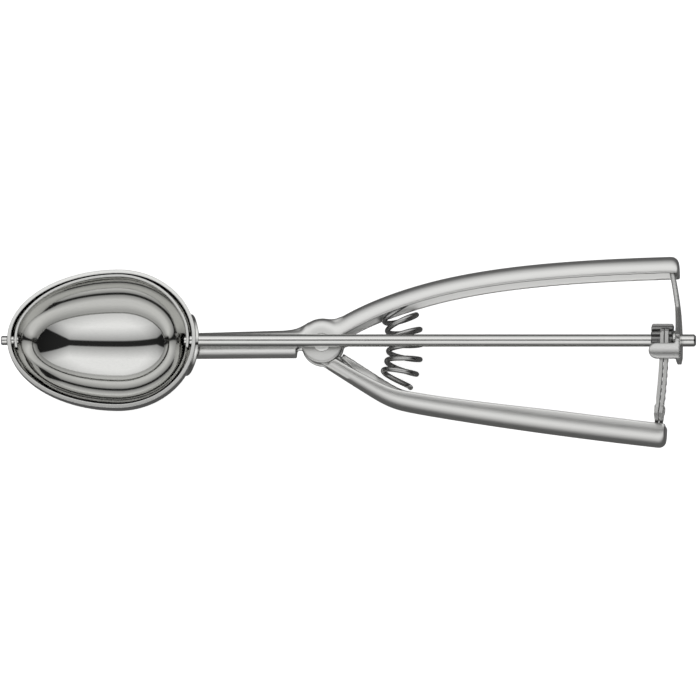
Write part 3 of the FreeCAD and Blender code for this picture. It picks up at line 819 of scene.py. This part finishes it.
@dataclass(frozen=True)
class CornerFill:
    """Small plate with a hollow edge, for an inside corner of the knuckle's outline."""

    name: str
    on_hump_deg: float
    corner: Spot
    away: Spot
    corner_drop: float = 2.2
    end_drop: float = 1.2
    steps: int = 8

    def outline(self, hump_radius: float) -> list[Spot]:
        """The plate's corners, its hollow edge first.

        Args:
            hump_radius: Radius of the knuckle's hump.

        Returns:
            The corners in order.
        """
        angle = math.radians(self.on_hump_deg)
        start = (PIVOT_X + hump_radius * math.cos(angle), hump_radius * math.sin(angle))
        ends = (start, self.corner, self.away)
        edge = []
        for i in range(self.steps + 1):
            t = i / self.steps
            weights = ((1 - t) ** 2, 2 * t * (1 - t), t * t)
            edge.append(tuple(sum(w * p[k] for w, p in zip(weights, ends)) for k in (0, 1)))
        return edge + [
            (self.away[0], self.away[1] - self.end_drop),
            (self.corner[0], self.corner[1] - self.corner_drop),
            (start[0], start[1] - self.end_drop),
        ]


@dataclass
class UpperHandle(SubAssembly):
    """Shank, knuckle and upper handle, pressed from one sheet."""

    back: UpperBack = UpperBack()
    start_x: float = 73.0
    end_x: float = 186.4
    depth: float = 6.2
    shank_end_x: float = 66.0
    knuckle_radius: float = 8.5
    knuckle_width: float = 7.2
    crown: float = 4.6
    shoulder_power: float = 0.8
    shoulder_steps: int = 24
    rivet_hole: float = 1.95
    disc_radius: float = 6.75
    hump_start_deg: float = -4.0
    disc_start_deg: float = 176.0
    half_turn_deg: float = 188.0
    fill_top: float = 1.6
    fill_bottom: float = 5.6
    voxel: float = 0.3
    passes: int = 9
    softening: Softening = Softening(((75.2, 7.2), (64.0, 4.6)))
    fills: tuple[CornerFill, ...] = (
        CornerFill("rear_fill", 76.0, (74.75, 7.75), (77.2, UpperBack().height(77.2))),
        CornerFill("front_fill", 124.0, (63.2, 4.6), (58.5, 4.3)),
    )

    def hump(self) -> bpy.types.Object:
        """Spin the round hump over the pivot, with its shoulders drawn soft."""
        half = self.knuckle_width / 2
        middle = HANDLE_FACE - half
        soft = self.knuckle_radius - self.crown
        profile = [(self.rivet_hole, middle + half)]
        for i in range(self.shoulder_steps + 1):
            turn = math.pi / 2 - math.pi * i / self.shoulder_steps
            side = 1 if turn >= 0 else -1
            reach = self.crown + soft * abs(math.cos(turn)) ** self.shoulder_power
            rise = half * abs(math.sin(turn)) ** self.shoulder_power
            profile.append((reach, middle + side * rise))
        profile.append((self.rivet_hole, middle - half))
        hump = turned_sheet("hump", profile, self.hump_start_deg, self.half_turn_deg)
        thicken(hump, SHEET)
        return hump

    def disc(self, name: str, top: float) -> bpy.types.Object:
        """Turn one of the two discs that hold the rivet, below the given height."""
        return flat_ring(
            name, self.rivet_hole, self.disc_radius, top, self.disc_start_deg, self.half_turn_deg
        )

    def build(self) -> None:
        """Press the whole piece."""
        channel = Channel(
            "upper_channel", 1, self.start_x, self.end_x, self.back,
            near_depth=lambda x: self.depth, far_depth=self.depth,
        )
        parts = [
            carried_copy("upper_handle", "shank", self.shank_end_x),
            channel.build(),
            self.hump(),
            self.disc("near_disc", HANDLE_FACE),
            self.disc("far_disc", HANDLE_FACE - self.knuckle_width + SHEET),
        ]
        low, high = HANDLE_FACE - self.fill_bottom, HANDLE_FACE - self.fill_top
        for fill in self.fills:
            parts.append(plate(fill.name, fill.outline(self.knuckle_radius), low, high))
        handle = weld("upper_handle_pressing", parts, self.voxel, self.passes, self.softening)
        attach(handle, Body.FRAME.value)
        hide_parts("upper_handle")
        self.keep(handle)


@dataclass(frozen=True)
class Ear:
    """One of the lever's ears: a ring round the rivet with a tongue into the neck."""

    name: str
    radius: float
    root_x: float
    root_rise: float
    bore: float = 1.96
    tongue_front: Spot = (68.0, -5.0)
    tongue_top: Spot = (77.0, -4.2)
    neck_x: float = 79.6
    neck_inset: float = 0.6

    def build(self, top: float, back: LowerBack) -> bpy.types.Object:
        """Turn the ring and set its tongue against it.

        Args:
            top: Height of the ear's top face.
            back: Line of the lower handle's back.

        Returns:
            The ear.
        """
        ring = flat_ring(self.name, self.bore, self.radius, top, 0.0, 360.0)
        outline = [
            self.tongue_front,
            (self.neck_x, back.height(self.neck_x) + self.neck_inset),
            (self.root_x, back.height(self.root_x) + self.root_rise),
            self.tongue_top,
        ]
        return join_meshes([ring, plate(self.name + "_tongue", outline, top - SHEET, top)])


@dataclass
class LowerHandle(SubAssembly):
    """Lower lever: two ears on the pivot and a soft channel for the fingers."""

    back: LowerBack = LowerBack()
    start_x: float = 72.5
    end_x: float = 183.0
    far_depth: float = 7.4
    near_neck_depth: float = 4.1
    neck_deepening: float = 1.9
    neck_run: float = 30.0
    grip_deepening: float = 1.3
    grip_x: float = 95.0
    grip_run: float = 60.0
    near_ear: Ear = Ear("near_ear", radius=5.9, root_x=81.0, root_rise=3.0)
    far_ear: Ear = Ear("far_ear", radius=6.9, root_x=82.5, root_rise=5.5)
    far_disc_z: float = -10.1
    side_gap: float = 0.15
    clear_radius: float = 6.85
    cutter_length: float = 60.0
    cutter_sides: int = 96
    voxel: float = 0.3
    passes: int = 6

    def near_depth(self, x: float) -> float:
        """Depth of the near flange, trimmed narrow along the neck."""
        neck = self.neck_deepening * eased((x - self.start_x) / self.neck_run)
        grip = self.grip_deepening * eased((x - self.grip_x) / self.grip_run)
        return self.near_neck_depth + neck + grip

    def build(self) -> None:
        """Press the whole lever."""
        shell = Channel(
            "lower_channel", -1, self.start_x, self.end_x, self.back,
            self.near_depth, self.far_depth, flipped=True,
        ).build()
        drill(
            shell, self.clear_radius, self.cutter_length, place_mm(PIVOT_X, 0, 0),
            self.cutter_sides,
        )
        near_top = HANDLE_FACE - SHEET - self.side_gap
        far_top = self.far_disc_z + 2 * SHEET + self.side_gap
        ears = [self.near_ear.build(near_top, self.back), self.far_ear.build(far_top, self.back)]
        lever = weld("lower_handle_pressing", [shell, *ears], self.voxel, self.passes)
        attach(lever, Body.LEVER.value)
        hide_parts("lower_handle")
        self.keep(lever)


@dataclass
class HandleSpring(SubAssembly):
    """Helical spring bent round the pivot, its end turns drawn in to sit in the channels."""

    finish: Steel = WIRE
    arc_radius: float = 26.6
    coil_radius: float = 5.25
    wire: float = 1.7
    wire_facets: int = 6
    top_deg: float = 27.4
    bottom_deg: float = -26.4
    half_turns: int = 12
    middle_z: float = -8.6
    end_coil: float = 2.1
    end_z: float = -7.8
    drawn_half_turns: float = 1.3
    lean_deg: float = 0.7
    lean_centre: float = 0.5
    points_per_turn: int = 36

    def point(self, done: float) -> Vector:
        """Where the wire's middle is.

        Args:
            done: Half turns from the upper end.

        Returns:
            The point in metres.
        """
        share = done / self.half_turns
        turn = math.pi * done
        lean = self.lean_deg * (math.cos(turn) - self.lean_centre)
        angle = math.radians(self.top_deg + (self.bottom_deg - self.top_deg) * share + lean)
        from_end = min(done, self.half_turns - done)
        drawn = 1 - eased(from_end / self.drawn_half_turns)
        tall = self.coil_radius + (self.end_coil - self.coil_radius) * drawn
        level = self.middle_z + (self.end_z - self.middle_z) * drawn
        reach = self.arc_radius + self.coil_radius * math.cos(turn)
        return place_mm(
            PIVOT_X + reach * math.cos(angle),
            reach * math.sin(angle),
            level + tall * math.sin(turn),
        )

    def build(self) -> None:
        """Draw the wire and bend it between the two handles."""
        count = self.half_turns * self.points_per_turn // 2
        curve = bpy.data.curves.new("spring_wire", "CURVE")
        curve.dimensions = "3D"
        curve.bevel_depth = self.wire / 2 * MM
        curve.bevel_resolution = self.wire_facets
        curve.use_fill_caps = True
        spline = curve.splines.new("POLY")
        spline.points.add(count)
        for i, control in enumerate(spline.points):
            control.co = (*self.point(self.half_turns * i / count), 1.0)
        wire = bpy.data.objects.new("spring_wire", curve)
        bpy.context.collection.objects.link(wire)
        make_active(wire)
        bpy.ops.object.convert(target="MESH")
        spring = bpy.context.object
        bpy.ops.object.shade_smooth()
        start, end = self.point(1.0), self.point(self.half_turns - 1.0)
        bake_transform(spring)
        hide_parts("handle_spring")
        self.keep(spring)


@dataclass(frozen=True)
class Egg:
    """Outline of the bowl seen from above, blunter behind its widest place than in front."""

    half_length: float = 30.6
    half_width: float = 22.85
    widest_x: float = 5.3

    def reach(self, front: bool) -> float:
        """Length from the widest place to the front tip or the rear one."""
        return self.half_length + (self.widest_x if front else -self.widest_x)

    def outward(self, x: float, y: float) -> Vector:
        """The flat way out at a place, square to the outline."""
        along = (x - self.widest_x) / self.reach(x < self.widest_x) ** 2
        return Vector((along, y / self.half_width**2, 0)).normalized()

    def fullness(self, x: float, y: float) -> float:
        """How near a place is to the outline: 1 on it, and 0 in the middle."""
        along = (x - self.widest_x) / self.reach(x < self.widest_x)
        return along**2 + (y / self.half_width) ** 2


@dataclass
class BowlCup(SubAssembly):
    """Deep-drawn bowl: the lower half of an egg with short upright walls."""

    finish: Steel = MIRROR
    egg: Egg = Egg()
    sheet: float = 0.8
    rim_z: float = 3.0
    rim_reach: float = 0.01
    wall_share: float = 0.04
    lip_fall: float = 0.1
    lip_inside: float = 0.4
    outer_fullness: float = 0.985
    rod_hole: float = 2.06
    pin_hole: float = 1.06
    cutter_length: float = 8.0
    cutter_sides: int = 48
    rows: int = 150
    columns: int = 100

    def point(self, along: float, across: float) -> Vector:
        """Place of one point of the cup.

        Args:
            along: Share from the front tip to the rear one.
            across: Share from one rim over the bottom to the other.

        Returns:
            The point in metres.
        """
        turn = math.pi * along
        x = self.egg.widest_x - self.egg.reach(turn < math.pi / 2) * math.cos(turn)
        reach = self.egg.half_width * math.sin(turn)
        if across < self.wall_share or across > 1 - self.wall_share:
            side = 1 if across < 0.5 else -1
            up = 1 - min(across, 1 - across) / self.wall_share
            return place_mm(x, side * reach, self.rim_z * up)
        turn = math.pi * (across - self.wall_share) / (1 - 2 * self.wall_share)
        return place_mm(x, reach * math.cos(turn), -reach * math.sin(turn))

    def lip(self, at: Triple) -> Triple:
        """Slope the rim outwards and thicken it inside.

        Args:
            at: A point of the mesh.

        Returns:
            Its step.
        """
        x, y, z = at
        if z < self.rim_z - self.rim_reach:
            return 0.0, 0.0, 0.0
        if self.egg.fullness(x, y) > self.outer_fullness:
            return 0.0, 0.0, -self.lip_fall
        out = self.egg.outward(x, y)
        return -out.x * self.lip_inside, -out.y * self.lip_inside, 0.0

    def build(self) -> None:
        """Draw the cup, give it its sheet and cut its two holes."""
        cup = formed_blank("bowl_cup", self.rows, self.columns, self.point)
        with editing(cup):
            bpy.ops.mesh.normals_make_consistent(inside=False)
        lowest = min(cup.data.polygons, key=lambda face: face.center.z)
        thicken(cup, self.sheet, flipped=lowest.normal.z > 0)
        reshape(cup, self.lip)
        for radius, x in ((self.rod_hole, 1), (self.pin_hole, -1)):
            end = place_mm(x * self.egg.half_length, 0, 0)
            drill(cup, radius, self.cutter_length, end, self.cutter_sides, along_rod=True)
        smooth_by_angle(cup)
        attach(cup, Body.FRAME.value)
        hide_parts("bowl")
        self.keep(cup)


@dataclass
class ScraperBlade(SubAssembly):
    """Sweeping strip, sprung a little away from the bowl's wall between its two tabs."""

    finish: Steel = MIRROR
    egg: Egg = Egg()
    stand_off: float = 0.12
    rear_stand_off: float = 0.2
    tab_y: float = 4.0
    tab_run: float = 8.0
    rear_x: float = 5.0
    rear_run: float = 14.0

    def move(self, at: Triple) -> Triple:
        """Step square to the egg's outline, nothing at the tabs.

        Args:
            at: A point of the mesh.

        Returns:
            Its step.
        """
        x, y, _ = at
        free = eased((y - self.tab_y) / self.tab_run)
        rear = self.rear_stand_off * eased((x - self.rear_x) / self.rear_run)
        step = -(self.stand_off + rear) * free
        out = self.egg.outward(x, y)
        return out.x * step, out.y * step, 0.0

    def build(self) -> None:
        """Set the strip on its way from tab to tab."""
        blade = carried_copy("scraper_blade", "scraper_strip")
        reshape(blade, self.move)
        smooth_by_angle(blade)
        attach(blade, Body.SWEEP.value)
        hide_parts("scraper_blade")
        self.keep(blade)


@dataclass
class RackLegs(SubAssembly):
    """The rack's two toothed plates and their rivets, with the slight set of bent sheet."""

    finish: Steel = BLANKED
    radius: float = 112.0
    foot_y: float = -22.5
    foot_margin: float = 0.1
    most_down: float = 1.1
    leg_low_z: float = 2.0
    foot_drop: float = 11.6
    straighten: float = 1.1
    set_back: float = 1.1
    foot_pinch: float = 0.16
    nodes: tuple[str, ...] = (
        "rack_plate_front", "rack_plate_rear", "rack_rivet_upper", "rack_rivet_lower"
    )

    def move(self, at: Triple) -> Triple:
        """Straighten the leg, lean it forward and pinch its foot.

        Args:
            at: A point of the mesh.

        Returns:
            Its step.
        """
        x, y, z = at
        down = min(max(y / self.foot_y, 0), self.most_down)
        deep = min(max((self.leg_low_z - z) / self.foot_drop, 0), 1)
        middle = PIVOT_X + math.sqrt(self.radius**2 - y * y)
        in_foot = y < self.foot_y + self.foot_margin
        pinch = self.foot_pinch * (middle - x) if in_foot else 0.0
        return self.straighten * down * down - self.set_back * deep + pinch, 0.0, 0.0

    def build(self) -> None:
        """Set every piece of the rack."""
        for node in self.nodes:
            piece = carried_copy(node, node + "_set")
            reshape(piece, self.move)
            smooth_by_angle(piece)
            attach(piece, Body.LEVER.value)
            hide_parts(node)
            self.keep(piece)


@dataclass
class GuideArm(SubAssembly):
    """Bowed arm with the rod's rear eye and the crowned keeper tongue."""

    finish: Steel = PRESSED
    tongue_y: Spot = (-7.7, -2.5)
    tongue_low_z: float = 8.0
    crown: float = 0.5
    voxel: float = 0.22
    passes: int = 5

    def move(self, at: Triple) -> Triple:
        """Lower the tongue's long edges, so that its top is crowned.

        Args:
            at: A point of the mesh.

        Returns:
            Its step.
        """
        _, y, z = at
        if z < self.tongue_low_z:
            return 0.0, 0.0, 0.0
        low, high = self.tongue_y
        across = (2 * y - low - high) / (high - low)
        return 0.0, 0.0, -self.crown * min(across * across, 1.0)

    def build(self) -> None:
        """Soften the arm's edges and crown its tongue."""
        blank = carried_copy("guide_arm", "arm")
        arm = weld("guide_arm_pressing", [blank], self.voxel, self.passes)
        reshape(arm, self.move)
        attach(arm, Body.FRAME.value)
        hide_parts("guide_arm")
        self.keep(arm)


@dataclass
class Studio:
    """Camera, light and floor."""

    tilt_deg: float = 11.5
    yaw_deg: float = 4.5
    rod_row_px: float = 340.5
    mouth_column_px: float = 102.0
    camera_distance_m: float = 1.2
    camera_near_m: float = 0.01
    camera_far_m: float = 10.0

    slit: float = 0.07
    slit_offset: float = 0.10
    slit_level: float = 0.03
    slit_edge: float = 30.0
    slit_softness: float = 0.05
    opens_right_of: float = 0.57
    opens_left_of: float = 0.80
    bank_level: float = 0.50
    bank_gain: float = 0.84
    bank_rise: float = 2.6
    horizon_level: float = 0.12
    horizon_rise: float = 1.15
    horizon_least: float = 0.05

    floor_margin_m: float = 3.0
    floor_middle_m: float = 0.08
    floor_gap_m: float = 0.0002
    floor_grey: float = 0.9
    floor_roughness: float = 0.9
    floor_glow: float = 0.72
    floor_reflected: float = 0.10

    def camera(self) -> None:
        """Place the long-lens camera over the scoop, with the rod level in the picture."""
        tilt, yaw = math.radians(self.tilt_deg), math.radians(self.yaw_deg)
        lean = math.cos(tilt)
        back = Vector((math.sin(yaw) * lean, -math.sin(tilt), math.cos(yaw) * lean))
        right = (Vector((1, 0, 0)) - back * back.x).normalized()
        up = back.cross(right)
        half = PHOTO_WIDTH_PX / 2
        across = (half - self.mouth_column_px) * MM_PER_PX * MM
        above = (self.rod_row_px - half) * MM_PER_PX * MM
        target = place_mm(0, 0, 0) + right * across + up * above
        data = bpy.data.cameras.new("camera")
        data.type = "ORTHO"
        data.ortho_scale = PHOTO_WIDTH_PX * MM_PER_PX * MM
        data.clip_start = self.camera_near_m
        data.clip_end = self.camera_far_m
        camera = bpy.data.objects.new("camera", data)
        bpy.context.collection.objects.link(camera)
        turn = Matrix((right, up, back)).transposed().to_4x4()
        camera.matrix_world = Matrix.Translation(target + back * self.camera_distance_m) @ turn
        bpy.context.scene.camera = camera

    def tent_level(self, tree: bpy.types.NodeTree) -> bpy.types.NodeSocket:
        """Brightness of the tent: two banks of light with a dark slit between them.

        Args:
            tree: The world's tree.

        Returns:
            The brightness's socket.
        """
        calc = partial(math_node, tree)
        coords = tree.nodes.new("ShaderNodeTexCoord").outputs["Generated"]
        split = tree.nodes.new("ShaderNodeSeparateXYZ")
        tree.links.new(coords, split.inputs[0])
        x, y, z = split.outputs
        beside = calc("ABSOLUTE", calc("ADD", y, self.slit_offset))
        right_open = calc("MAXIMUM", calc("SUBTRACT", x, self.opens_right_of), 0.0)
        left = calc("MULTIPLY", x, -1.0)
        left_open = calc("MAXIMUM", calc("SUBTRACT", left, self.opens_left_of), 0.0)
        opening = calc("ADD", self.slit, calc("ADD", right_open, left_open))
        past = calc("SUBTRACT", beside, opening)
        lit = calc("MAXIMUM", calc("MULTIPLY", past, self.slit_edge), 0.0)
        lit = calc("SMOOTH_MIN", lit, 1.0, self.slit_softness)
        rise = calc("MAXIMUM", calc("MULTIPLY", past, self.bank_rise), 0.0)
        rise = calc("MINIMUM", rise, 1.0)
        bank = calc("ADD", self.bank_level, calc("MULTIPLY", rise, self.bank_gain))
        level = calc("ADD", self.slit_level, calc("MULTIPLY", lit, bank))
        low = calc("ADD", calc("MULTIPLY", z, self.horizon_rise), self.horizon_level)
        low = calc("MINIMUM", calc("MAXIMUM", low, self.horizon_least), 1.0)
        return calc("MULTIPLY", level, low)

    def world(self) -> None:
        """Light the scoop with the tent, and show white to the camera."""
        world = bpy.data.worlds.new("tent")
        bpy.context.scene.world = world
        world.use_nodes = True
        tree = world.node_tree
        tree.nodes.clear()
        out = tree.nodes.new("ShaderNodeOutputWorld")
        tent = tree.nodes.new("ShaderNodeBackground")
        tree.links.new(self.tent_level(tree), tent.inputs["Strength"])
        white = tree.nodes.new("ShaderNodeBackground")
        white.inputs["Color"].default_value = (1, 1, 1, 1)
        light_path = tree.nodes.new("ShaderNodeLightPath")
        mix = tree.nodes.new("ShaderNodeMixShader")
        tree.links.new(light_path.outputs["Is Camera Ray"], mix.inputs[0])
        tree.links.new(tent.outputs[0], mix.inputs[1])
        tree.links.new(white.outputs[0], mix.inputs[2])
        tree.links.new(mix.outputs[0], out.inputs["Surface"])

    def floor(self) -> None:
        """Pale floor that keeps the scoop's shadow and shows dark in the steel's edges."""
        deselect_all()
        low = CAD_BOX[0][2] - self.floor_gap_m
        bpy.ops.mesh.primitive_plane_add(
            size=2 * self.floor_margin_m, location=(self.floor_middle_m, 0, low)
        )
        floor = bpy.context.object
        floor.name = "floor"
        material = bpy.data.materials.new("floor_white")
        material.use_nodes = True
        tree = material.node_tree
        shader = tree.nodes["Principled BSDF"]
        shader.inputs["Base Color"].default_value = (*[self.floor_grey] * 3, 1)
        shader.inputs["Roughness"].default_value = self.floor_roughness
        shader.inputs["Emission Color"].default_value = (1, 1, 1, 1)
        shader.inputs["Emission Strength"].default_value = self.floor_glow
        dark = tree.nodes.new("ShaderNodeEmission")
        dark.inputs["Color"].default_value = (*[self.floor_reflected] * 3, 1)
        light_path = tree.nodes.new("ShaderNodeLightPath")
        mix = tree.nodes.new("ShaderNodeMixShader")
        tree.links.new(light_path.outputs["Is Glossy Ray"], mix.inputs[0])
        tree.links.new(shader.outputs[0], mix.inputs[1])
        tree.links.new(dark.outputs[0], mix.inputs[2])
        tree.links.new(mix.outputs[0], tree.nodes["Material Output"].inputs["Surface"])
        floor.data.materials.append(material)

    def build(self) -> None:
        """Set up the camera, the light and the floor."""
        self.camera()
        self.world()
        self.floor()
        bpy.context.scene.view_settings.view_transform = "Standard"
        LOG.info("studio ready")


@dataclass
class PackedNodes:
    """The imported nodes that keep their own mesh, and the finish of each."""

    finishes: dict[str, Steel] = field(
        default_factory=lambda: {
            "saddle_plate": MIRROR,
            "front_pin": GROUND,
            "front_washer": GROUND,
            "tenon_head": GROUND,
            "rod": GROUND,
            "pinion": SHADED_PINION,
            "thrust_washer": GROUND,
            "pivot_rivet": LIT_RIVET,
        }
    )

    def dress(self, finishes: FinishBook) -> None:
        """Give every node its finish."""
        for node, steel in self.finishes.items():
            finishes.coat(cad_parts[node], steel)


def main() -> None:
    """Build the studio and the sub-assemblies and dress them."""
    finishes = FinishBook(PolishMarks().build())
    Studio().build()
    sub_assemblies = [
        BowlCup(), ScraperBlade(), UpperHandle(), LowerHandle(),
        HandleSpring(), GuideArm(), RackLegs(),
    ]
    for sub_assembly in sub_assemblies:
        sub_assembly.build()
        sub_assembly.dress(finishes)
    PackedNodes().dress(finishes)


if __name__ == "__main__":
    main()
